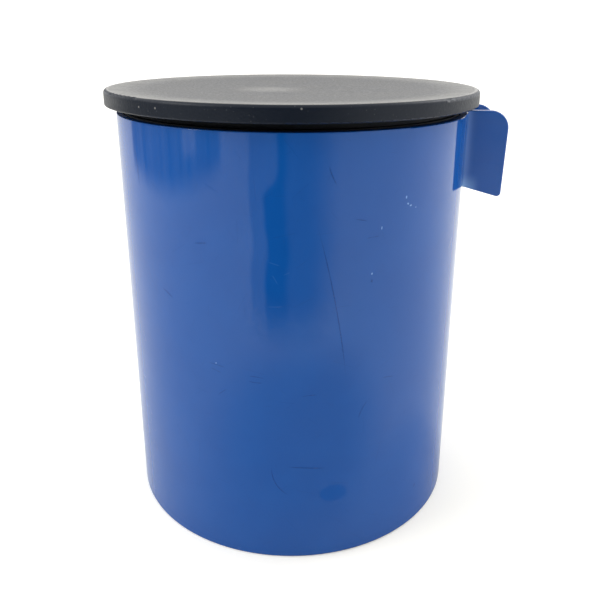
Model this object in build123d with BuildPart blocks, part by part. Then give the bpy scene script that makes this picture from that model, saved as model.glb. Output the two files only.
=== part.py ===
"""Plastic storage canister: a straight barrel with two grip wings, and a plug lid with a soft seal.

Millimetres. The origin is the centre of the foot ring, on the surface the canister stands on.
+Z is up, along the barrel's axis. The two grip wings point to +X, one each side of the XZ plane.
"""
from build123d import *
import math
import os

# ---------------------------------------------------------------- driving dimensions

# Barrel
BODY_RADIUS = 70.0          # outside of the barrel
BODY_HEIGHT = 165.0         # foot ring to rim
MOUTH_WALL = 2.6            # wall above the lid's stop
BARREL_WALL = 3.6           # wall just below the stop
INSIDE_DRAFT = 0.25         # degrees, the inside narrows towards the floor
FLOOR_THICKNESS = 3.2
FLOOR_CORNER_RADIUS = 4.0   # inside, wall to floor
BASE_EDGE_RADIUS = 0.9
RIM_EDGE_RADIUS = 0.4
MOUTH_EDGE_RADIUS = 0.4
STOP_DEPTH = 14.0           # rim down to the step that the lid rests on

# Underside
FOOT_RING_WIDTH = 6.0       # flat standing ring, measured in from the barrel's outside
FOOT_RECESS_DEPTH = 1.2
GATE_DIMPLE_RADIUS = 5.0
GATE_DIMPLE_DEPTH = 0.5

# Grip wings
WING_TIP_X = 85.7
WING_ROOT_Y = 11.3          # middle of the plate where it meets the barrel
WING_TIP_Y = 11.8           # middle of the plate at its tip
WING_THICKNESS = 2.8
WING_RISE = 0.8             # the wings stand this much higher than the rim
WING_ROOT_FILLET = 3.0
WING_ROOT_LOW_Z = 135.3     # lower edge where it meets the barrel
WING_TIP_LOW_Z = 131.0      # lower edge at the tip, which hangs a little lower
WING_EDGE_DRAFT = 1.4       # degrees, the outer edge leans in towards the bottom
WING_TOP_CORNER_RADIUS = 7.2
WING_LOW_CORNER_RADIUS = 1.6
WING_EDGE_RADIUS = 0.7
WING_EMBED = 0.03           # the wing's strip of wall lies this far under the barrel's surface
WING_SETBACK = 0.3          # gap in plan between the rim and the part of the wing above it

# Lid cap
LID_GAP = 3.0               # rim up to the lower edge of the skirt
LID_RADIUS = 74.2
LID_DEPTH = 5.9             # lower edge of the skirt up to the raised lip
LIP_RADIUS = 72.8           # crest of the lip
DISH_DEPTH = 1.6            # lip down to the middle of the top
CAP_WALL = 2.0
SKIRT_EDGE_RADIUS = 0.6

# Lid plug
PLUG_NECK_RADIUS = 63.6
PLUG_WALL = 2.0
PLUG_FLOOR = 2.2            # thickness of the plate that rests on the stop
PLUG_CLEARANCE = 0.35       # plug and seal to the inside of the mouth
FLANGE_RECESS = 0.8         # the flange sits this far up inside the skirt
FLANGE_THICKNESS = 1.5
FLANGE_CLEARANCE = 0.1      # flange to the inside of the skirt
WELD_RING_RADIUS = 65.0     # middle of the ring under the cap that is welded to the flange
WELD_RING_WIDTH = 2.0

# Seal
SEAL_SLEEVE = 1.5           # thickness of the sleeve round the plug's neck
SEAL_TOP_MARGIN = 0.6       # the sleeve stops this far below the flange
SEAL_LIP_COUNT = 3
SEAL_LIP_ROOT = 1.6         # height of a lip where it leaves the sleeve
SEAL_LIP_EDGE = 0.8         # height of a lip at its outer edge
SEAL_LIP_RISE = 0.7         # a lip's outer edge is this much higher than its root
SEAL_LOWEST_LIP = 2.2       # sleeve's lower end up to the lowest lip's root
SEAL_LIP_PITCH = 4.2

# ---------------------------------------------------------------- worked-out sizes

MOUTH_RADIUS = BODY_RADIUS - MOUTH_WALL
BARREL_INSIDE = BODY_RADIUS - BARREL_WALL
STOP_Z = BODY_HEIGHT - STOP_DEPTH
WING_TOP_Z = BODY_HEIGHT + WING_RISE
FLOOR_TOP = FOOT_RECESS_DEPTH + FLOOR_THICKNESS
FLOOR_INSIDE = BARREL_INSIDE - (STOP_Z - FLOOR_TOP) * math.tan(math.radians(INSIDE_DRAFT))
FOOT_INSIDE = BODY_RADIUS - FOOT_RING_WIDTH

LID_LOW_Z = BODY_HEIGHT + LID_GAP
LIP_Z = LID_LOW_Z + LID_DEPTH
DISH_Z = LIP_Z - DISH_DEPTH
LID_CORNER_RADIUS = LID_RADIUS - LIP_RADIUS
SKIRT_INSIDE = LID_RADIUS - CAP_WALL

PLUG_FLOOR_RADIUS = MOUTH_RADIUS - PLUG_CLEARANCE
PLUG_FLOOR_TOP = STOP_Z + PLUG_FLOOR
FLANGE_LOW_Z = LID_LOW_Z + FLANGE_RECESS
FLANGE_TOP_Z = FLANGE_LOW_Z + FLANGE_THICKNESS
FLANGE_RADIUS = SKIRT_INSIDE - FLANGE_CLEARANCE


def corner(sketch, x, y):
    """The vertex of a sketch that is nearest to the given point of its own plane."""
    return min(sketch.vertices(), key=lambda v: math.hypot(v.X - x, v.Y - y))


# ---------------------------------------------------------------- body: barrel, floor, foot ring, wings


def wing_plan():
    """Plan of the wing on the +Y side, blended into a strip of the barrel's wall by its root fillets."""
    reach = WING_TIP_X - BODY_RADIUS
    splay = math.atan2(WING_TIP_Y - WING_ROOT_Y, reach)
    strip_outside = BODY_RADIUS - WING_EMBED
    strip_inside = BODY_RADIUS - MOUTH_WALL / 2
    with BuildSketch() as plan:
        Circle(strip_outside)
        with Locations((BODY_RADIUS, WING_ROOT_Y)):
            Rectangle(2 * reach, WING_THICKNESS, rotation=math.degrees(splay))
        root = [v for v in plan.vertices() if v.Y > 1 and math.hypot(v.X, v.Y) < BODY_RADIUS]
        fillet(root, radius=WING_ROOT_FILLET)
        Circle(strip_inside, mode=Mode.SUBTRACT)
        with Locations((BODY_RADIUS, WING_ROOT_Y)):
            Rectangle(4 * reach, 2 * (WING_ROOT_Y - WING_THICKNESS), mode=Mode.INTERSECT)
    return plan.sketch


def wing_outline():
    """Side outline of a wing, wide enough inwards to reach into the barrel's wall."""
    lean = (WING_TOP_Z - WING_TIP_LOW_Z) * math.tan(math.radians(WING_EDGE_DRAFT))
    slope = (WING_ROOT_LOW_Z - WING_TIP_LOW_Z) / (WING_TIP_X - BODY_RADIUS)
    inner_x = BODY_RADIUS / 2
    inner_low_z = WING_ROOT_LOW_Z + slope * (BODY_RADIUS - inner_x)
    with BuildSketch() as outline:
        with BuildLine():
            Polyline(
                (inner_x, WING_TOP_Z),
                (WING_TIP_X, WING_TOP_Z),
                (WING_TIP_X - lean, WING_TIP_LOW_Z),
                (inner_x, inner_low_z),
                close=True,
            )
        make_face()
        fillet(corner(outline, WING_TIP_X, WING_TOP_Z), radius=WING_TOP_CORNER_RADIUS)
        fillet(corner(outline, WING_TIP_X - lean, WING_TIP_LOW_Z), radius=WING_LOW_CORNER_RADIUS)
    return outline.sketch


def wing_edges(part):
    """Edges round both faces of the wing, without the upright and the crosswise ones."""
    edges = part.edges().filter_by(Axis.Z, reverse=True)
    edges = edges.filter_by(lambda edge: edge.length > 1.1 * WING_THICKNESS)
    return edges.filter_by(
        lambda edge: math.hypot(edge.center().X, edge.center().Y) > BODY_RADIUS - WING_EDGE_RADIUS
    )


plan_of_wing = wing_plan()
outline_of_wing = wing_outline()

with BuildPart() as body:
    # One wing: its plan drawn upwards, cut to its side outline, with softened edges
    with BuildSketch(Plane.XY.offset(WING_TIP_LOW_Z)):
        add(plan_of_wing)
    extrude(amount=WING_TOP_Z - WING_TIP_LOW_Z)
    with BuildSketch(Plane.XZ):
        add(outline_of_wing)
    extrude(amount=2 * WING_TIP_Y, both=True, mode=Mode.INTERSECT)
    fillet(wing_edges(body), radius=WING_EDGE_RADIUS)

    # From the rim's rounded edge upwards the wing starts a little way out from the barrel
    with BuildSketch(Plane.XY.offset(BODY_HEIGHT - RIM_EDGE_RADIUS)):
        Circle(BODY_RADIUS + WING_SETBACK)
    extrude(amount=2 * WING_RISE + RIM_EDGE_RADIUS, mode=Mode.SUBTRACT)
    mirror(about=Plane.XZ)

    # Barrel wall and floor
    with BuildSketch(Plane.XZ) as section:
        with BuildLine():
            Polyline(
                (0, FOOT_RECESS_DEPTH),
                (FOOT_INSIDE, FOOT_RECESS_DEPTH),
                (FOOT_INSIDE, 0),
                (BODY_RADIUS, 0),
                (BODY_RADIUS, BODY_HEIGHT),
                (MOUTH_RADIUS, BODY_HEIGHT),
                (MOUTH_RADIUS, STOP_Z),
                (BARREL_INSIDE, STOP_Z),
                (FLOOR_INSIDE, FLOOR_TOP),
                (0, FLOOR_TOP),
                close=True,
            )
        make_face()
        fillet(corner(section, FLOOR_INSIDE, FLOOR_TOP), radius=FLOOR_CORNER_RADIUS)
        fillet(corner(section, BODY_RADIUS, 0), radius=BASE_EDGE_RADIUS)
        fillet(corner(section, BODY_RADIUS, BODY_HEIGHT), radius=RIM_EDGE_RADIUS)
        fillet(corner(section, MOUTH_RADIUS, BODY_HEIGHT), radius=MOUTH_EDGE_RADIUS)
    revolve(axis=Axis.Z)

    # Gate dimple under the floor
    with BuildSketch(Plane.XY.offset(FOOT_RECESS_DEPTH)):
        Circle(GATE_DIMPLE_RADIUS)
    extrude(amount=GATE_DIMPLE_DEPTH, mode=Mode.SUBTRACT)

body.part.label = "body"

# ---------------------------------------------------------------- lid cap: dished top, lip and skirt

with BuildPart() as lid_cap:
    with BuildSketch(Plane.XZ) as section:
        with BuildLine():
            # Outside, from the middle of the dish out over the lip and down the skirt
            Bezier((0, DISH_Z), (LIP_RADIUS / 2, DISH_Z), (LIP_RADIUS, LIP_Z))
            CenterArc((LIP_RADIUS, LIP_Z - LID_CORNER_RADIUS), LID_CORNER_RADIUS, 0, 90)
            Polyline(
                (LID_RADIUS, LIP_Z - LID_CORNER_RADIUS),
                (LID_RADIUS, LID_LOW_Z),
                (SKIRT_INSIDE, LID_LOW_Z),
            )
            # Inside, from the skirt back to the middle
            Polyline(
                (SKIRT_INSIDE, LID_LOW_Z),
                (SKIRT_INSIDE, LIP_Z - LID_CORNER_RADIUS),
                (LIP_RADIUS - CAP_WALL, LIP_Z - CAP_WALL),
            )
            Bezier(
                (LIP_RADIUS - CAP_WALL, LIP_Z - CAP_WALL),
                (LIP_RADIUS / 2, DISH_Z - CAP_WALL),
                (0, DISH_Z - CAP_WALL),
            )
            Line((0, DISH_Z - CAP_WALL), (0, DISH_Z))
        make_face()
        fillet(corner(section, LID_RADIUS, LID_LOW_Z), radius=SKIRT_EDGE_RADIUS)
    revolve(axis=Axis.Z)

    # Ring that is welded to the plug's flange
    with BuildSketch(Plane.XY.offset(FLANGE_TOP_Z)):
        Circle(WELD_RING_RADIUS + WELD_RING_WIDTH / 2)
        Circle(WELD_RING_RADIUS - WELD_RING_WIDTH / 2, mode=Mode.SUBTRACT)
    extrude(until=Until.NEXT)

lid_cap.part.label = "lid_cap"

# ---------------------------------------------------------------- lid plug: cup that fills the mouth

with BuildPart() as lid_plug:
    with BuildSketch(Plane.XZ):
        with BuildLine():
            Polyline(
                (0, STOP_Z),
                (PLUG_FLOOR_RADIUS, STOP_Z),
                (PLUG_FLOOR_RADIUS, PLUG_FLOOR_TOP),
                (PLUG_NECK_RADIUS, PLUG_FLOOR_TOP),
                (PLUG_NECK_RADIUS, FLANGE_LOW_Z),
                (FLANGE_RADIUS, FLANGE_LOW_Z),
                (FLANGE_RADIUS, FLANGE_TOP_Z),
                (PLUG_NECK_RADIUS - PLUG_WALL, FLANGE_TOP_Z),
                (PLUG_NECK_RADIUS - PLUG_WALL, PLUG_FLOOR_TOP),
                (0, PLUG_FLOOR_TOP),
                close=True,
            )
        make_face()
    revolve(axis=Axis.Z)

lid_plug.part.label = "lid_plug"

# ---------------------------------------------------------------- seal ring: sleeve with soft lips

with BuildPart() as seal_ring:
    sleeve_radius = PLUG_NECK_RADIUS + SEAL_SLEEVE
    sleeve_top = FLANGE_LOW_Z - SEAL_TOP_MARGIN
    with BuildSketch(Plane.XZ):
        with BuildLine():
            Polyline(
                (PLUG_NECK_RADIUS, PLUG_FLOOR_TOP),
                (sleeve_radius, PLUG_FLOOR_TOP),
                (sleeve_radius, sleeve_top),
                (PLUG_NECK_RADIUS, sleeve_top),
                close=True,
            )
        make_face()
        for number in range(SEAL_LIP_COUNT):
            root_z = PLUG_FLOOR_TOP + SEAL_LOWEST_LIP + number * SEAL_LIP_PITCH
            edge_z = root_z + SEAL_LIP_RISE
            with BuildLine():
                Polyline(
                    (sleeve_radius - SEAL_SLEEVE / 2, root_z),
                    (sleeve_radius, root_z),
                    (PLUG_FLOOR_RADIUS, edge_z),
                    (PLUG_FLOOR_RADIUS, edge_z + SEAL_LIP_EDGE),
                    (sleeve_radius, root_z + SEAL_LIP_ROOT),
                    (sleeve_radius - SEAL_SLEEVE / 2, root_z + SEAL_LIP_ROOT),
                    close=True,
                )
            make_face()
    revolve(axis=Axis.Z)

seal_ring.part.label = "seal_ring"

# ---------------------------------------------------------------- one STEP file for each piece

os.makedirs("parts", exist_ok=True)
export_step(body.part, "parts/body.step")
export_step(lid_cap.part, "parts/lid_cap.step")
export_step(lid_plug.part, "parts/lid_plug.step")
export_step(seal_ring.part, "parts/seal_ring.step")
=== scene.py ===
"""A blue moulded storage canister with a black plug lid, in a plain white studio.

Everything is in metres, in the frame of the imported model: Z is up, the canister stands on z = 0 with its
axis on the Z axis, and its two grip wings point along +X.
"""

import math

import bpy
from mathutils import Matrix, Vector

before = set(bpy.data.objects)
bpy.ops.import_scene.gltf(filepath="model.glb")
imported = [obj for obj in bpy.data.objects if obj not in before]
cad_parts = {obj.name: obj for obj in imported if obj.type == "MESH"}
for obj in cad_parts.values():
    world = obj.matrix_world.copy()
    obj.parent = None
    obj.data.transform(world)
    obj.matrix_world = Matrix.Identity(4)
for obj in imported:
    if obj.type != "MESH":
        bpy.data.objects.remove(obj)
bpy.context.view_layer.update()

MM_PER_METRE = 1000.0

# ---------------------------------------------------------------- camera
CAMERA_PLACE = (0.00985, -0.28133, 0.1954)
CAMERA_HEADING = 0.016      # radians, from +Y towards -X
CAMERA_PITCH = 0.3296       # radians below the horizon
CAMERA_ROLL = 0.0043        # radians
CAMERA_LENS = 39.69         # mm, on a sensor 36 mm wide
CAMERA_SHIFT_Y = -0.0743    # of the picture's width

# ---------------------------------------------------------------- light
WORLD_LIGHT = 1.10          # brightness of the studio walls overhead and at the sides
WORLD_SLOPE = (0.10, 0.22)  # how much brighter the walls are towards +X and towards +Y
FLOOR_SIZE = 6.0
FLOOR_COLOUR = (0.92, 0.91, 0.86)
FLOOR_HAZE = 0.335          # light that the overexposed white sheet adds for the camera
SHADOW_HAZE = 0.165         # the same in the canister's shadow
SHADOW_WARMTH = (1.0, 0.90, 0.68)    # colour of that light in the shadow
SHADOW_PLACE = (0.085, -0.005, 0.0)  # middle of the shadow, at the canister's right foot
SHADOW_FADE = (0.02, 0.17)  # distances from that middle over which the shadow fades out
HAZE_LIFT = 0.0001          # how far that light's clear sheet is above the floor
# Softboxes: place, point faced, width and power in watts.
SOFTBOX_LEFT = ((-1.3, -0.35, 0.9), (0.0, 0.0, 0.1), 0.9, 9.0)    # shapes the barrel
SOFTBOX_RIGHT = ((0.75, 0.30, 0.70), (0.6, 0.0, 0.0), 0.5, 3.0)   # lights the floor on the right
# Upright black flags: x and y of one end, x and y of the other, foot and top.
FLAG_FRONT = (-0.125, -0.25, 0.18, -0.25, 0.0, 0.30)
FLAG_LEFT = (-0.666, 0.34, -0.48, -0.60, 0.0, 0.5)
FLAG_BACK = (-0.45, 1.2, 0.45, 1.2, 0.1, 1.2)
FLAG_ROOM = (-1.2, -1.15, 1.1, -1.35, 0.07, 0.75)
FLAG_FLOOR_SIZE = 0.6
FLAG_FLOOR_LIFT = 0.0002
# Soft dark ovals of the floor flag, painted shade on the floor seen only in reflections: middle, then radii
# along X and Y.
FLOOR_OVAL_FRONT = ((0.017, -0.160), (0.17, 0.13))
FLOOR_OVAL_RIGHT = ((0.085, -0.035), (0.07, 0.06))

# ---------------------------------------------------------------- colours, linear
BODY_BLUE = (0.0046, 0.086, 0.365)
BODY_BLUE_DEEP = (0.0040, 0.080, 0.348)
SCRATCH_BLUE = (0.0020, 0.038, 0.185)
ROOT_HIGHLIGHT_BLUE = (0.0290, 0.118, 0.400)   # painted highlight on the fillets at the wings' roots
RIM_SHADE = (0.0025, 0.0300, 0.1300)  # painted shade on the rim's top, under the lid
PALE_CHIP_AND_REFLECTION = (0.24, 0.45, 0.78)        # broken plastic, and the painted reflection of the floor at the wings' lower roots
LID_BLACK = (0.0040, 0.0085, 0.0185)
LID_DUSTY = (0.032, 0.0305, 0.0265)
# pale grey for the painted sheen towards the top's edge, the painted highlight and wear on the lip's crest
# and the paler patch near the middle
LID_PALE_SHEEN_AND_WEAR = (0.210, 0.203, 0.185)
DUST = (0.42, 0.41, 0.39)
PLUG_BLACK = (0.0032, 0.0055, 0.0110)
RUBBER_BLACK = (0.0042, 0.0070, 0.0125)

# ---------------------------------------------------------------- where each look begins and ends
# Radii from the canister's axis and heights above the table, in metres. Pairs are the ends of a fade.
BARREL_SKIN = (0.0697, 0.0006)      # radius of the barrel's outer skin, and how far off still counts
RIM_RADIUS = 0.0699                 # the rim's top is inside this radius
RIM_HEIGHT = 0.16485                # and above this height
WING_START = (0.07002, 0.07012)     # from the barrel's skin to the wings
ROOT_FADE = (0.0712, 0.0745)        # painted highlight on the wing root's fillet, fading out into the wing
LOW_ROOT_REFLECTION_FADE = (0.0722, 0.0775)      # painted reflection of the floor at a wing's lower root, outwards
LOW_ROOT_REFLECTION_HEIGHTS = (0.1345, 0.1415)   # and upwards
LID_TOP_HEIGHT = 0.1712             # the lid's top and its lip are above this height
EDGE_SHEEN_FADE = (0.055, 0.076)       # painted sheen: the top grows paler towards its edge
LIP_INSIDE = (0.0719, 0.0725)       # the lip's crest, with painted highlight and wear, from the dish
LIP_OUTSIDE = (0.0730, 0.0734)      # and to the side
PALE_PATCH_PLACE = (-0.009, 0.000, 0.1723)  # a paler patch near the middle of the top
PALE_PATCH_RADII = (0.018, 0.002)

# ---------------------------------------------------------------- wear on the barrel
# Places on the unrolled outside of the barrel, in mm: (round the barrel from the front, height).
BARREL_RADIUS = 70.0
# (place, length, width, angle in degrees, how far the middle bows sideways)
SCRATCHES = (
    ((16.0, 106.0), 61.0, 0.34, -79.0, 1.2),
    ((-30.2, 126.5), 5.6, 0.40, 8.0, 0.0),
    ((-47.1, 104.5), 6.2, 0.55, -25.0, 0.3),
    ((8.3, 71.4), 6.2, 0.34, 4.0, 0.2),
    ((7.4, 41.0), 15.0, 0.42, -5.0, 0.0),
    ((-2.2, 35.3), 14.8, 0.36, -63.0, -2.3),
    ((-10.7, 78.4), 6.2, 0.30, -5.0, 0.2),
    ((-11.1, 76.5), 5.5, 0.34, -3.0, -0.2),
    ((-25.7, 81.1), 7.4, 0.32, -7.0, 0.2),
    ((-26.2, 79.0), 5.1, 0.32, -16.0, 0.0),
    ((28.8, 62.7), 8.6, 0.40, 63.0, 0.6),
    ((39.3, 73.8), 5.7, 0.34, -8.0, 0.2),
    ((15.6, 151.0), 7.6, 0.40, -66.0, -0.3),
    ((25.7, 135.6), 5.0, 0.40, -13.0, 0.0),
    ((30.3, 129.0), 5.4, 0.30, 4.0, 0.2),
    ((-23.7, 70.6), 5.3, 0.34, 39.0, 0.2),
    ((-61.8, 149.0), 16.0, 0.42, -83.5, 0.3),
    ((-80.4, 42.1), 1.6, 0.90, 80.0, 0.0),
    ((-75.5, 30.1), 1.6, 0.90, -60.0, 0.0),
    ((58.1, 17.2), 1.8, 0.70, 45.0, 0.0),
    ((30.4, 113.4), 1.4, 0.80, 85.0, 0.0),
)
# (place, length, width, angle in degrees) of nicks that show paler plastic
CHIPS = (
    ((43.6, 141.5), 1.2, 0.60, 86.0),
    ((44.5, 139.1), 0.9, 0.65, -25.0),
    ((45.8, 138.3), 1.1, 0.55, 10.0),
    ((48.4, 137.3), 0.6, 0.30, 10.0),
    ((33.6, 132.0), 1.3, 0.35, 85.0),
    ((30.4, 116.0), 0.9, 0.50, 70.0),
    ((-26.0, 81.9), 0.6, 0.40, 0.0),
)
# (place, length, width, angle in degrees) of light scuffs
SCUFFS = (
    ((-3.9, 121.4), 4.4, 0.42, -18.0),
    ((-3.6, 115.8), 4.2, 0.40, -61.0),
    ((-3.7, 105.9), 6.2, 0.40, 2.0),
    ((0.4, 118.0), 2.6, 0.36, 24.0),
)
POLISHED_PLACE = (17.7, 28.7)    # a polished oval low on the front
POLISHED_SIZE = (11.4, 7.6)

# ---------------------------------------------------------------- dust on the lid's side, in mm
# (direction round the axis in degrees from +X, height) of the larger specks
LID_SPECKS = ((-131.3, 171.0), (-124.8, 171.2), (-85.9, 172.7))
LID_RADIUS = 74.2


class Nodes:
    """Short names for building one node tree."""

    def __init__(self, tree):
        self.tree = tree
        tree.nodes.clear()

    def add(self, kind, **settings):
        node = self.tree.nodes.new(kind)
        for name, value in settings.items():
            setattr(node, name, value)
        return node

    def link(self, source, target):
        self.tree.links.new(source, target)

    def feed(self, socket, value):
        """Links a socket to another node's output, or sets it to a plain value."""
        if isinstance(value, bpy.types.NodeSocket):
            self.link(value, socket)
        else:
            socket.default_value = value

    def math(self, operation, *values, clamp=False):
        node = self.add("ShaderNodeMath", operation=operation, use_clamp=clamp)
        for socket, value in zip(node.inputs, values):
            self.feed(socket, value)
        return node.outputs[0]

    def vector(self, operation, *values):
        node = self.add("ShaderNodeVectorMath", operation=operation)
        for socket, value in zip(node.inputs, values):
            self.feed(socket, value)
        return node.outputs["Value" if operation in ("LENGTH", "DISTANCE", "DOT_PRODUCT") else "Vector"]

    def split(self, vector):
        node = self.add("ShaderNodeSeparateXYZ")
        self.link(vector, node.inputs[0])
        return node.outputs

    def join(self, *values):
        node = self.add("ShaderNodeCombineXYZ")
        for socket, value in zip(node.inputs, values):
            self.feed(socket, value)
        return node.outputs[0]

    def ramp(self, value, low, high, out_low=0.0, out_high=1.0):
        """Maps value from low..high smoothly to out_low..out_high, held at both ends."""
        node = self.add("ShaderNodeMapRange", clamp=True, interpolation_type="SMOOTHSTEP")
        for name, setting in (("Value", value), ("From Min", low), ("From Max", high),
                              ("To Min", out_low), ("To Max", out_high)):
            self.feed(node.inputs[name], setting)
        return node.outputs["Result"]

    def noise(self, vector, scale, detail=2.0, roughness=0.5):
        node = self.add("ShaderNodeTexNoise")
        self.feed(node.inputs["Vector"], vector)
        node.inputs["Scale"].default_value = scale
        node.inputs["Detail"].default_value = detail
        node.inputs["Roughness"].default_value = roughness
        return node.outputs["Fac"]

    def cells(self, vector, dimensions):
        """A random mosaic with cells about 1 across: the nearest point's distance, colour and place."""
        node = self.add("ShaderNodeTexVoronoi", voronoi_dimensions=dimensions)
        self.link(vector, node.inputs["Vector"])
        node.inputs["Scale"].default_value = 1.0
        return node.outputs["Distance"], node.outputs["Color"], node.outputs["Position"]

    def mix(self, factor, a, b):
        """Mixes two colours."""
        node = self.add("ShaderNodeMix", data_type="RGBA")
        self.feed(node.inputs[0], factor)
        for socket, value in ((node.inputs[6], a), (node.inputs[7], b)):
            if not isinstance(value, bpy.types.NodeSocket):
                value = (*value, 1.0)
            self.feed(socket, value)
        return node.outputs[2]

    def most(self, values):
        """The largest of several values, taken one at a time as they are made."""
        result = 0.0
        for value in values:
            result = self.math("MAXIMUM", result, value)
        return result

    def relief(self, *layers):
        """One bump from several layers, each a value from 0 to 1 and its height in micrometres."""
        height = 0.0
        for value, micrometres in layers:
            height = self.math("MULTIPLY_ADD", value, micrometres, height)
        node = self.add("ShaderNodeBump")
        node.inputs["Strength"].default_value = 1.0
        node.inputs["Distance"].default_value = 0.000001
        self.link(height, node.inputs["Height"])
        return node.outputs[0]

    def stroke(self, flat, place, length, width, angle, bow=0.0):
        """1 inside a thin stroke on a flat drawing, 0 outside, with soft ends and sides."""
        local = self.add("ShaderNodeMapping", vector_type="TEXTURE")
        self.link(flat, local.inputs["Vector"])
        local.inputs["Location"].default_value = (*place, 0.0)
        local.inputs["Rotation"].default_value = (0.0, 0.0, math.radians(angle))
        local.inputs["Scale"].default_value = (length / 2, width / 2, 1.0)
        along, across, _ = self.split(local.outputs[0])
        if bow:
            # the middle bows by this many of the stroke's half widths, and the ends stay
            half_widths = bow / (width / 2)
            lift = self.math("MULTIPLY", self.math("MULTIPLY", along, along), -half_widths)
            across = self.math("SUBTRACT", across, self.math("ADD", lift, half_widths))
        side = self.ramp(self.math("ABSOLUTE", across), 0.6, 1.1, 1.0, 0.0)
        ends = self.ramp(self.math("ABSOLUTE", along), 0.5, 1.0, 1.0, 0.0)
        return self.math("MULTIPLY", side, ends)

    def hairlines(self, flat, cell, length, width, share):
        """Short straight scratches at random places and angles, in about this share of the cells."""
        near = self.vector("MULTIPLY", flat, (1 / cell, 1 / cell, 0.0))
        _, colour, place = self.cells(near, "2D")
        turn = self.add("ShaderNodeVectorRotate", rotation_type="Z_AXIS")
        self.link(self.vector("SUBTRACT", near, place), turn.inputs["Vector"])
        angle, pick, size = self.split(colour)
        self.link(self.math("MULTIPLY", angle, math.tau), turn.inputs["Angle"])
        along, across, _ = self.split(turn.outputs[0])
        reach = self.math("MULTIPLY", size, length / cell)
        side = self.ramp(self.math("ABSOLUTE", across), 0.3 * width / cell, width / cell, 1.0, 0.0)
        ends = self.math("LESS_THAN", self.math("ABSOLUTE", along), reach)
        chosen = self.math("LESS_THAN", pick, share)
        return self.math("MULTIPLY", self.math("MULTIPLY", side, ends), chosen)

    def specks(self, place, cell, radius, share):
        """Round specks at random places, in about this share of the cells."""
        near = self.vector("MULTIPLY", place, (1 / cell, 1 / cell, 1 / cell))
        distance, colour, _ = self.cells(near, "3D")
        pick, size, _ = self.split(colour)
        reach = self.math("MULTIPLY", self.math("ADD", size, 0.4), radius / cell)
        inside = self.ramp(self.math("DIVIDE", distance, reach), 0.6, 1.0, 1.0, 0.0)
        return self.math("MULTIPLY", inside, self.math("LESS_THAN", pick, share))


def new_material(name):
    material = bpy.data.materials.new(name)
    material.use_nodes = True
    nodes = Nodes(material.node_tree)
    shader = nodes.add("ShaderNodeBsdfPrincipled")
    output = nodes.add("ShaderNodeOutputMaterial")
    nodes.link(shader.outputs[0], output.inputs[0])
    return material, nodes, shader


def unroll(n, x, y, z):
    """The barrel unrolled to a flat drawing in mm: X is round the barrel from its front, Y is height."""
    turn = n.math("ARCTAN2", x, n.math("MULTIPLY", y, -1.0))
    return n.join(n.math("MULTIPLY", turn, BARREL_RADIUS), n.math("MULTIPLY", z, MM_PER_METRE), 0.0)


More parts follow.
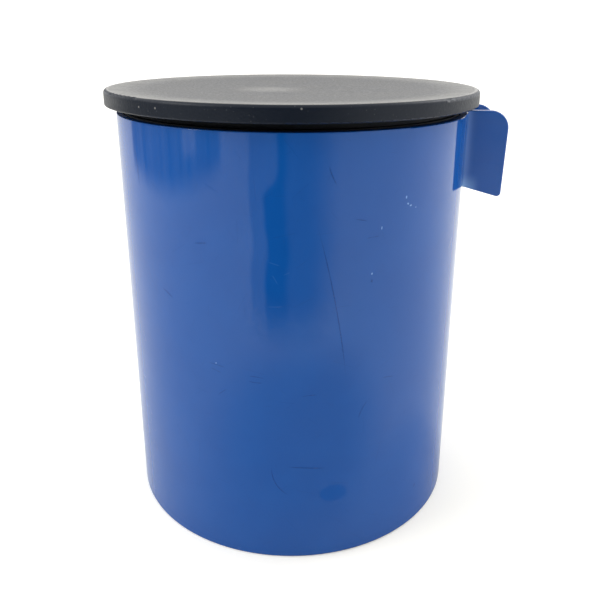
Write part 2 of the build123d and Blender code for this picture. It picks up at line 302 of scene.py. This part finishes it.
def blue_gloss():
    """Glossy moulded blue plastic with scratches, a few pale nicks and faint smears, painted highlights and
    reflections at the wing roots and painted shade on the rim's top.
    """
    material, n, shader = new_material("blue_gloss")
    place = n.add("ShaderNodeTexCoord").outputs["Object"]
    x, y, z = n.split(place)
    flat = unroll(n, x, y, z)
    radius = n.vector("LENGTH", n.join(x, y, 0.0))
    outside = n.math("COMPARE", radius, *BARREL_SKIN)
    rim = n.math("MULTIPLY", n.math("LESS_THAN", radius, RIM_RADIUS), n.math("GREATER_THAN", z, RIM_HEIGHT))
    on_wing = n.ramp(radius, *WING_START)
    root_highlight = n.math("MULTIPLY", on_wing, n.ramp(radius, *ROOT_FADE, 1.0, 0.0))
    outwards = n.ramp(radius, *LOW_ROOT_REFLECTION_FADE, 1.0, 0.0)
    upwards = n.ramp(z, *LOW_ROOT_REFLECTION_HEIGHTS, 1.0, 0.0)
    low_root_reflection = n.math("MULTIPLY", n.math("MULTIPLY", outwards, upwards), on_wing)

    placed = n.most(n.stroke(flat, *scratch) for scratch in SCRATCHES)
    broken = n.ramp(n.noise(flat, 0.9, 3.0), 0.36, 0.56, 0.5, 1.0)
    fine = n.hairlines(flat, 13.0, 5.0, 0.16, 0.55)
    finer = n.hairlines(n.vector("ADD", flat, (37.0, 11.0, 0.0)), 7.0, 2.6, 0.12, 0.35)
    light_wear = n.math("MULTIPLY", n.math("MAXIMUM", fine, finer), 0.28)
    scratched = n.math("MAXIMUM", n.math("MULTIPLY", placed, broken), light_wear)
    scratched = n.math("MULTIPLY", scratched, outside)
    chips = n.math("MULTIPLY", n.most(n.stroke(flat, *chip) for chip in CHIPS), outside)
    scuffs = n.math("MULTIPLY", n.most(n.stroke(flat, *scuff) for scuff in SCUFFS), outside)

    width, height = POLISHED_SIZE
    oval = n.vector("SUBTRACT", flat, (*POLISHED_PLACE, 0.0))
    oval = n.vector("MULTIPLY", oval, (2 / width, 2 / height, 0.0))
    polished = n.math("MULTIPLY", n.ramp(n.vector("LENGTH", oval), 0.82, 1.05, 1.0, 0.0), outside)

    tone = n.ramp(n.noise(place, 45.0, 3.0), 0.35, 0.65)
    colour = n.mix(tone, BODY_BLUE, BODY_BLUE_DEEP)
    # painted highlight on the fillets at the wings' roots
    colour = n.mix(root_highlight, colour, ROOT_HIGHLIGHT_BLUE)
    # painted reflection of the floor at the wings' lower roots
    colour = n.mix(n.math("MULTIPLY", low_root_reflection, 0.5), colour, PALE_CHIP_AND_REFLECTION)
    # painted shade on the rim's top, under the lid
    colour = n.mix(n.math("MULTIPLY", rim, 0.85), colour, RIM_SHADE)
    colour = n.mix(n.math("MULTIPLY", scratched, 0.85), colour, SCRATCH_BLUE)
    colour = n.mix(n.math("MULTIPLY", scuffs, 0.06), colour, PALE_CHIP_AND_REFLECTION)
    colour = n.mix(n.math("MULTIPLY", chips, 0.8), colour, PALE_CHIP_AND_REFLECTION)
    n.link(colour, shader.inputs["Base Color"])

    smears = n.ramp(n.noise(n.vector("MULTIPLY", place, (1.0, 1.0, 0.45)), 38.0, 4.0, 0.6), 0.42, 0.72)
    roughness = n.math("MULTIPLY_ADD", smears, 0.05, 0.055)
    roughness = n.math("MULTIPLY_ADD", scratched, 0.20, roughness)
    roughness = n.math("MAXIMUM", roughness, n.math("MULTIPLY", n.math("MAXIMUM", chips, rim), 0.5))
    n.link(roughness, shader.inputs["Roughness"])
    dulled = n.math("MAXIMUM", n.math("MULTIPLY", rim, 0.4), n.math("MULTIPLY", polished, 0.24))
    dulled = n.math("MAXIMUM", dulled, n.math("MULTIPLY", scratched, 0.25))
    n.link(n.math("SUBTRACT", 0.5, dulled), shader.inputs["Specular IOR Level"])
    shader.inputs["IOR"].default_value = 1.48

    wave = n.noise(n.vector("MULTIPLY", place, (1.0, 1.0, 0.7)), 30.0, 1.0)
    ripple = n.noise(place, 420.0, 2.0)
    n.link(n.relief((wave, 120.0), (ripple, 2.0), (light_wear, -30.0)), shader.inputs["Normal"])
    return material


def lid_point(direction, height):
    """A point on the lid's side, in metres."""
    turn = math.radians(direction)
    point = (LID_RADIUS * math.cos(turn), LID_RADIUS * math.sin(turn), height)
    return tuple(mm / MM_PER_METRE for mm in point)


def black_grain():
    """Matt black plastic with a fine moulded grain, dusty on top, with painted sheen growing paler towards
    the top's edge, a painted highlight with wear on the lip's crest and a paler patch near the middle.
    """
    material, n, shader = new_material("black_grain")
    place = n.add("ShaderNodeTexCoord").outputs["Object"]
    x, y, z = n.split(place)
    radius = n.vector("LENGTH", n.join(x, y, 0.0))
    facing = n.split(n.add("ShaderNodeNewGeometry").outputs["Normal"])[2]
    upward = n.math("MULTIPLY", n.ramp(facing, 0.88, 0.985), n.math("GREATER_THAN", z, LID_TOP_HEIGHT))

    grain = n.noise(place, 2200.0, 3.0, 0.6)
    mottle = n.noise(place, 1000.0, 2.0, 0.6)
    film = n.ramp(n.noise(place, 70.0, 4.0, 0.6), 0.3, 0.75, 0.55, 1.0)
    patchy = n.ramp(n.noise(place, 110.0, 4.0, 0.6), 0.3, 0.7, 0.6, 1.0)
    edge_sheen = n.math("MULTIPLY", n.math("MULTIPLY", n.ramp(radius, *EDGE_SHEEN_FADE), patchy), upward)
    lip = n.math("MULTIPLY", n.ramp(radius, *LIP_INSIDE), n.ramp(radius, *LIP_OUTSIDE, 1.0, 0.0))
    lip = n.math("MULTIPLY", lip, upward)
    crest_highlight_and_wear = n.math("MULTIPLY", lip, n.ramp(n.noise(place, 240.0, 3.0), 0.3, 0.6, 0.35, 1.0))
    pale_patch = n.ramp(n.vector("DISTANCE", place, PALE_PATCH_PLACE), *PALE_PATCH_RADII)
    pale_patch = n.math("MULTIPLY", n.math("MULTIPLY", pale_patch, patchy), upward)
    dust = n.math("MAXIMUM", n.specks(place, 0.0075, 0.00022, 0.5), n.specks(place, 0.0027, 0.00010, 0.4))
    placed = n.most(n.ramp(n.vector("DISTANCE", place, lid_point(*speck)), 0.0001, 0.0005, 0.6, 0.0)
                    for speck in LID_SPECKS)
    powder = n.math("MULTIPLY", n.specks(place, 0.0012, 0.00022, 0.5), n.ramp(facing, 0.5, 0.8, 1.0, 0.0))

    colour = n.mix(n.math("MULTIPLY", upward, film), LID_BLACK, LID_DUSTY)
    # painted sheen, paler towards the edge of the top
    colour = n.mix(edge_sheen, colour, LID_PALE_SHEEN_AND_WEAR)
    # painted highlight and wear along the lip's crest, and the paler patch near the middle
    colour = n.mix(n.math("MULTIPLY", n.math("MAXIMUM", crest_highlight_and_wear, pale_patch), 0.75), colour, LID_PALE_SHEEN_AND_WEAR)
    colour = n.mix(n.math("MULTIPLY", powder, 0.06), colour, DUST)
    colour = n.mix(n.math("MULTIPLY", n.math("MAXIMUM", dust, placed), 0.8), colour, DUST)
    n.link(colour, shader.inputs["Base Color"])

    roughness = n.math("MULTIPLY_ADD", mottle, 0.30, 0.24)
    n.link(n.math("MULTIPLY_ADD", crest_highlight_and_wear, -0.10, roughness), shader.inputs["Roughness"])
    n.link(n.math("MULTIPLY_ADD", upward, 0.07, 0.28), shader.inputs["Specular IOR Level"])
    n.link(n.relief((grain, 20.0), (mottle, 80.0), (dust, 80.0)), shader.inputs["Normal"])
    return material


def black_satin():
    """Smooth satin black plastic with faint turned lines from its mould."""
    material, n, shader = new_material("black_satin")
    place = n.add("ShaderNodeTexCoord").outputs["Object"]
    x, y, z = n.split(place)
    radius = n.vector("LENGTH", n.join(x, y, 0.0))
    across = n.math("MULTIPLY", radius, MM_PER_METRE)
    along = n.math("MULTIPLY", z, 0.6 * MM_PER_METRE)
    rings = n.noise(n.join(across, along, 0.0), 2.2, 2.0)
    tone = n.ramp(n.noise(place, 90.0, 3.0), 0.35, 0.7)
    n.link(n.mix(tone, PLUG_BLACK, tuple(1.6 * c for c in PLUG_BLACK)), shader.inputs["Base Color"])
    n.link(n.math("MULTIPLY_ADD", rings, 0.12, 0.27), shader.inputs["Roughness"])
    n.link(n.relief((rings, 12.0)), shader.inputs["Normal"])
    return material


def black_rubber():
    """Soft black rubber: matt, with a bloom that is paler in patches and a few specks of dust."""
    material, n, shader = new_material("black_rubber")
    place = n.add("ShaderNodeTexCoord").outputs["Object"]
    bloom = n.ramp(n.noise(place, 160.0, 4.0, 0.6), 0.4, 0.75)
    dust = n.specks(place, 0.004, 0.00010, 0.4)
    colour = n.mix(bloom, RUBBER_BLACK, tuple(2.2 * c for c in RUBBER_BLACK))
    n.link(n.mix(n.math("MULTIPLY", dust, 0.6), colour, DUST), shader.inputs["Base Color"])
    n.link(n.math("MULTIPLY_ADD", bloom, 0.12, 0.62), shader.inputs["Roughness"])
    shader.inputs["Specular IOR Level"].default_value = 0.4
    n.link(n.relief((n.noise(place, 900.0, 3.0), 10.0)), shader.inputs["Normal"])
    return material


def dress(node, material):
    """Gives a CAD node its finished material."""
    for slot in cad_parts[node].material_slots:
        slot.material = material


dress("body", blue_gloss())
dress("lid_cap", black_grain())
dress("lid_plug", black_satin())
dress("seal_ring", black_rubber())


# ---------------------------------------------------------------- studio
def white_paper():
    material, n, shader = new_material("white_paper")
    place = n.add("ShaderNodeTexCoord").outputs["Object"]
    tone = n.ramp(n.noise(place, 9.0, 3.0), 0.3, 0.7)
    n.link(n.mix(tone, FLOOR_COLOUR, tuple(0.99 * c for c in FLOOR_COLOUR)), shader.inputs["Base Color"])
    shader.inputs["Roughness"].default_value = 0.9
    shader.inputs["Specular IOR Level"].default_value = 0.0
    return material


def black_cloth(name, fade=None):
    """A flag that gives off no light, and is see-through where fade is 1."""
    material = bpy.data.materials.new(name)
    material.use_nodes = True
    n = Nodes(material.node_tree)
    black = n.add("ShaderNodeEmission")
    black.inputs["Strength"].default_value = 0.0
    clear = n.add("ShaderNodeBsdfTransparent")
    both = n.add("ShaderNodeMixShader")
    both.inputs[0].default_value = 0.0
    output = n.add("ShaderNodeOutputMaterial")
    n.link(black.outputs[0], both.inputs[1])
    n.link(clear.outputs[0], both.inputs[2])
    n.link(both.outputs[0], output.inputs[0])
    if fade is not None:
        place = n.split(n.add("ShaderNodeTexCoord").outputs["Object"])
        n.link(fade(n, *place), both.inputs[0])
    return material


def white_haze():
    """A clear sheet that adds white light, less and warmer in the canister's faint shadow."""
    material = bpy.data.materials.new("white_haze")
    material.use_nodes = True
    n = Nodes(material.node_tree)
    glow = n.add("ShaderNodeEmission")
    clear = n.add("ShaderNodeBsdfTransparent")
    both = n.add("ShaderNodeAddShader")
    output = n.add("ShaderNodeOutputMaterial")
    place = n.add("ShaderNodeTexCoord").outputs["Object"]
    lit = n.ramp(n.vector("DISTANCE", place, SHADOW_PLACE), *SHADOW_FADE)
    n.link(n.mix(lit, SHADOW_WARMTH, (1.0, 1.0, 1.0)), glow.inputs["Color"])
    n.link(n.math("MULTIPLY_ADD", lit, FLOOR_HAZE - SHADOW_HAZE, SHADOW_HAZE), glow.inputs["Strength"])
    n.link(glow.outputs[0], both.inputs[0])
    n.link(clear.outputs[0], both.inputs[1])
    n.link(both.outputs[0], output.inputs[0])
    return material


def add_sheet(name, corners, material, seen_by):
    """A flat sheet of the studio, seen only by these kinds of ray."""
    mesh = bpy.data.meshes.new(name)
    mesh.from_pydata(corners, [], [tuple(range(len(corners)))])
    sheet = bpy.data.objects.new(name, mesh)
    bpy.context.scene.collection.objects.link(sheet)
    sheet.data.materials.append(material)
    for kind in ("camera", "diffuse", "glossy", "transmission", "shadow"):
        setattr(sheet, "visible_" + kind, kind in seen_by)


def upright(x0, y0, x1, y1, foot, top):
    """Corners of an upright card that stands on the line from (x0, y0) to (x1, y1)."""
    return [(x0, y0, foot), (x1, y1, foot), (x1, y1, top), (x0, y0, top)]


def level(size, z):
    half = size / 2
    return [(-half, -half, z), (half, -half, z), (half, half, z), (-half, half, z)]


# Each fade below takes a place on its flag and says how see-through the flag is there, from 0 to 1.
def front_fade(n, x, y, z):
    """The front flag is dense left of its middle and thins to both sides and its foot, like hung cloth."""
    hang = n.math("SUBTRACT", n.noise(n.join(0.0, 0.0, z), 22.0, 2.0), 0.5)
    x = n.math("MULTIPLY_ADD", hang, 0.05, x)
    edge = n.ramp(x, -0.104, -0.090, 0.0, 0.5)
    high = n.ramp(z, 0.098, 0.112, 0.0, 0.032)
    core = n.ramp(n.math("SUBTRACT", x, high), -0.066, -0.052, 0.0, 0.5)
    past_core = n.ramp(x, -0.016, 0.004, 0.0, -0.22)
    right = n.ramp(x, 0.035, 0.150, 0.0, -0.78)
    density = n.math("ADD", n.math("ADD", edge, core), n.math("ADD", past_core, right))
    density = n.math("MULTIPLY", density, n.ramp(z, -0.012, 0.040))
    return n.math("SUBTRACT", 1.0, density)


def left_fade(n, x, y, z):
    """The left flag is a thin veil in shallow folds, with soft ends and one paler window."""
    foot = n.ramp(z, 0.0, 0.045)
    ends = n.math("MULTIPLY", n.ramp(y, -0.60, -0.53), n.ramp(y, 0.28, 0.33, 1.0, 0.0))
    window = n.math("MULTIPLY", n.ramp(y, -0.37, -0.34), n.ramp(y, -0.27, -0.24, 1.0, 0.0))
    window = n.math("MULTIPLY", window, n.ramp(z, 0.050, 0.066))
    folds = n.ramp(n.noise(n.join(y, 0.0, 0.0), 16.0, 3.0), 0.35, 0.65, 0.64, 0.84)
    cloth = n.math("MULTIPLY_ADD", window, -0.42, folds)
    density = n.math("MULTIPLY", n.math("MULTIPLY", foot, ends), cloth)
    return n.math("SUBTRACT", 1.0, density)


def soft_oval(n, x, y, middle, radii):
    """Distance from the middle of an oval on the floor, which is 1 at its edge."""
    across = n.math("DIVIDE", n.math("SUBTRACT", x, middle[0]), radii[0])
    along = n.math("DIVIDE", n.math("SUBTRACT", y, middle[1]), radii[1])
    return n.vector("LENGTH", n.join(across, along, 0.0))


def floor_fade(n, x, y, z):
    """The floor flag darkens two soft ovals of painted shade on the floor, seen only in reflections, in
    front of the canister and at its right foot.
    """
    front = n.ramp(soft_oval(n, x, y, *FLOOR_OVAL_FRONT), 0.35, 1.0, 0.52, 1.0)
    right = n.ramp(soft_oval(n, x, y, *FLOOR_OVAL_RIGHT), 0.30, 1.0, 0.66, 1.0)
    return n.math("MULTIPLY", front, right)


def back_fade(n, x, y, z):
    """The veil behind is densest at its middle, so the lid's top mirrors less light there."""
    return n.ramp(n.math("ABSOLUTE", x), 0.05, 0.42, 0.90, 1.0)


def add_studio():
    everything = ("camera", "diffuse", "glossy", "transmission", "shadow")
    add_sheet("floor", level(FLOOR_SIZE, 0.0), white_paper(), everything)
    add_sheet("floor_haze", level(FLOOR_SIZE, HAZE_LIFT), white_haze(), ("camera",))
    # the floor flag is painted shade: a dark sheet over the floor, seen only in reflections
    for name, corners, fade in (("floor_shade_flag", level(FLAG_FLOOR_SIZE, FLAG_FLOOR_LIFT), floor_fade),
                                ("flag_front", upright(*FLAG_FRONT), front_fade),
                                ("flag_left", upright(*FLAG_LEFT), left_fade),
                                ("flag_back", upright(*FLAG_BACK), back_fade)):
        add_sheet(name, corners, black_cloth(name, fade), ("glossy",))
    add_sheet("flag_room", upright(*FLAG_ROOM), black_cloth("flag_room"), ("diffuse", "glossy"))


def add_softbox(name, place, aim, size, power):
    data = bpy.data.lights.new(name, "AREA")
    data.shape = "SQUARE"
    data.size = size
    data.energy = power
    light = bpy.data.objects.new(name, data)
    bpy.context.scene.collection.objects.link(light)
    light.location = place
    light.rotation_mode = "QUATERNION"
    light.rotation_quaternion = (Vector(aim) - Vector(place)).to_track_quat("-Z", "Y")
    light.visible_camera = False


def add_world():
    world = bpy.data.worlds.new("studio")
    bpy.context.scene.world = world
    world.use_nodes = True
    n = Nodes(world.node_tree)
    background = n.add("ShaderNodeBackground")
    output = n.add("ShaderNodeOutputWorld")
    direction = n.add("ShaderNodeTexCoord").outputs["Generated"]
    slope = n.vector("DOT_PRODUCT", direction, (*WORLD_SLOPE, 0.0))
    n.link(n.math("ADD", slope, WORLD_LIGHT), background.inputs["Strength"])
    n.link(background.outputs[0], output.inputs[0])
    background.inputs["Color"].default_value = (1.0, 1.0, 1.0, 1.0)


def add_camera():
    data = bpy.data.cameras.new("camera")
    data.lens = CAMERA_LENS
    data.sensor_width = 36.0
    data.shift_y = CAMERA_SHIFT_Y
    data.clip_start = 0.01
    camera = bpy.data.objects.new("camera", data)
    bpy.context.scene.collection.objects.link(camera)
    turn = Matrix.Rotation(CAMERA_HEADING, 4, "Z")
    tilt = Matrix.Rotation(math.pi / 2 - CAMERA_PITCH, 4, "X")
    roll = Matrix.Rotation(CAMERA_ROLL, 4, "Z")
    camera.matrix_world = Matrix.Translation(CAMERA_PLACE) @ turn @ tilt @ roll
    bpy.context.scene.camera = camera


add_studio()
add_softbox("softbox_left", *SOFTBOX_LEFT)
add_softbox("softbox_right", *SOFTBOX_RIGHT)
add_world()
add_camera()
bpy.context.scene.view_settings.view_transform = "Standard"
